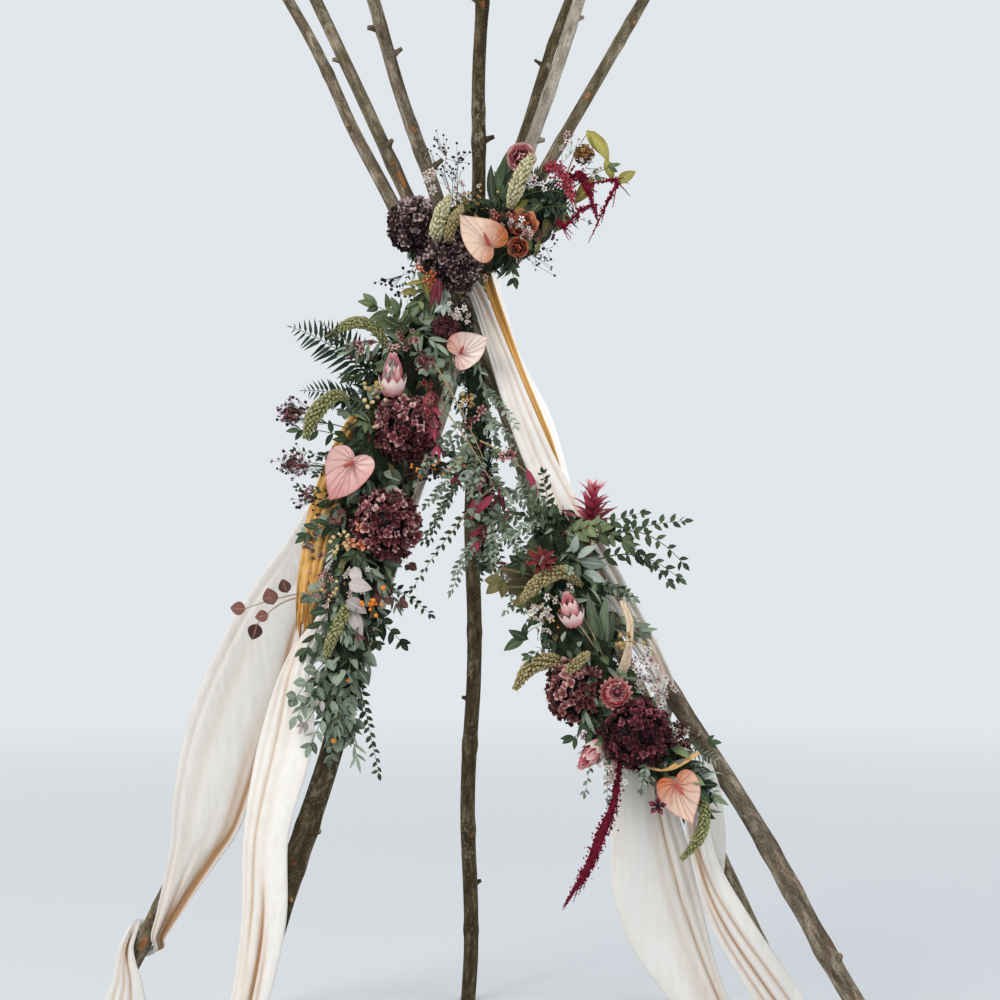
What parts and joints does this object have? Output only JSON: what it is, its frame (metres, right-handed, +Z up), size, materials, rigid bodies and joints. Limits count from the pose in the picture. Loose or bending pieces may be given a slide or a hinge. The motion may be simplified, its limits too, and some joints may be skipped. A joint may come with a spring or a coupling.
{
  "type": "tipi frame",
  "caption": "Open tipi frame of rough bark poles lashed near the top, dressed with cloth swags and cloth flower garlands.",
  "frame": {"origin": "middle of the part's box, on the ground", "axes": "+Z up, the front with the garlands faces -Y, +X to the right seen from the front"},
  "size_m": [2.617, 2.2862, 3.9576],
  "materials": {
    "bark_dark": "rough dark bark",
    "bark_brown": "rough brown bark",
    "bark_olive": "rough grey-green bark",
    "bark_pale": "smooth pale bark",
    "rope": "twisted natural fibre",
    "cloth_ivory": "soft matt cloth",
    "cloth_ochre": "soft matt cloth",
    "cloth_sheer": "thin sheer cloth",
    "leaf_green": "matt leaf cloth",
    "bloom_plum": "matt petal cloth",
    "bloom_rose": "matt petal cloth",
    "bloom_rust": "matt petal cloth",
    "bloom_peach": "waxed petal cloth",
    "bloom_pink": "matt petal cloth",
    "seed_green": "bristly pile",
    "tassel_crimson": "chenille pile"
  },
  "bodies": {
    "root": {"pole_front_left": "bark_dark", "pole_front_right": "bark_brown", "pole_right": "bark_olive", "pole_back_right": "bark_brown", "pole_back_centre": "bark_dark", "pole_back_left": "bark_pale", "pole_left": "bark_olive", "rope_lashing": "rope", "drape_ivory_left_outer": "cloth_ivory", "drape_ivory_left_fall": "cloth_ivory", "drape_ivory_left_inner": "cloth_ivory", "drape_ivory_right_upper": "cloth_ivory", "drape_ivory_right_lower": "cloth_ivory", "drape_ivory_right_tail": "cloth_ivory", "drape_ochre_left": "cloth_ochre", "drape_ochre_right": "cloth_ochre", "drape_sheer_right": "cloth_sheer", "garland_crown": "leaf_green", "garland_left": "leaf_green", "garland_centre": "leaf_green", "garland_right": "leaf_green", "hydrangea_crown_left": "bloom_plum", "hydrangea_crown_centre": "bloom_plum", "hydrangea_left_upper": "bloom_rose", "hydrangea_left_lower": "bloom_rose", "hydrangea_right_upper": "bloom_rose", "hydrangea_right_lower": "bloom_plum", "rose_crown": "bloom_rust", "sedum_left": "bloom_rose", "anthurium_crown": "bloom_peach", "anthurium_left_upper": "bloom_peach", "anthurium_left_lower": "bloom_peach", "anthurium_right": "bloom_peach", "protea_left": "bloom_pink", "protea_right_upper": "bloom_pink", "protea_right_open": "bloom_pink", "protea_right_bud": "bloom_pink", "lily_right": "bloom_pink", "seed_head_crown_left": "seed_green", "seed_head_crown_right": "seed_green", "seed_head_left_arch": "seed_green", "seed_head_left_lower": "seed_green", "seed_head_right_arch": "seed_green", "seed_head_right_left": "seed_green", "seed_head_right_tail": "seed_green", "amaranth_tail_right": "tassel_crimson", "amaranth_crown": "tassel_crimson"}
  },
  "joints": []
}
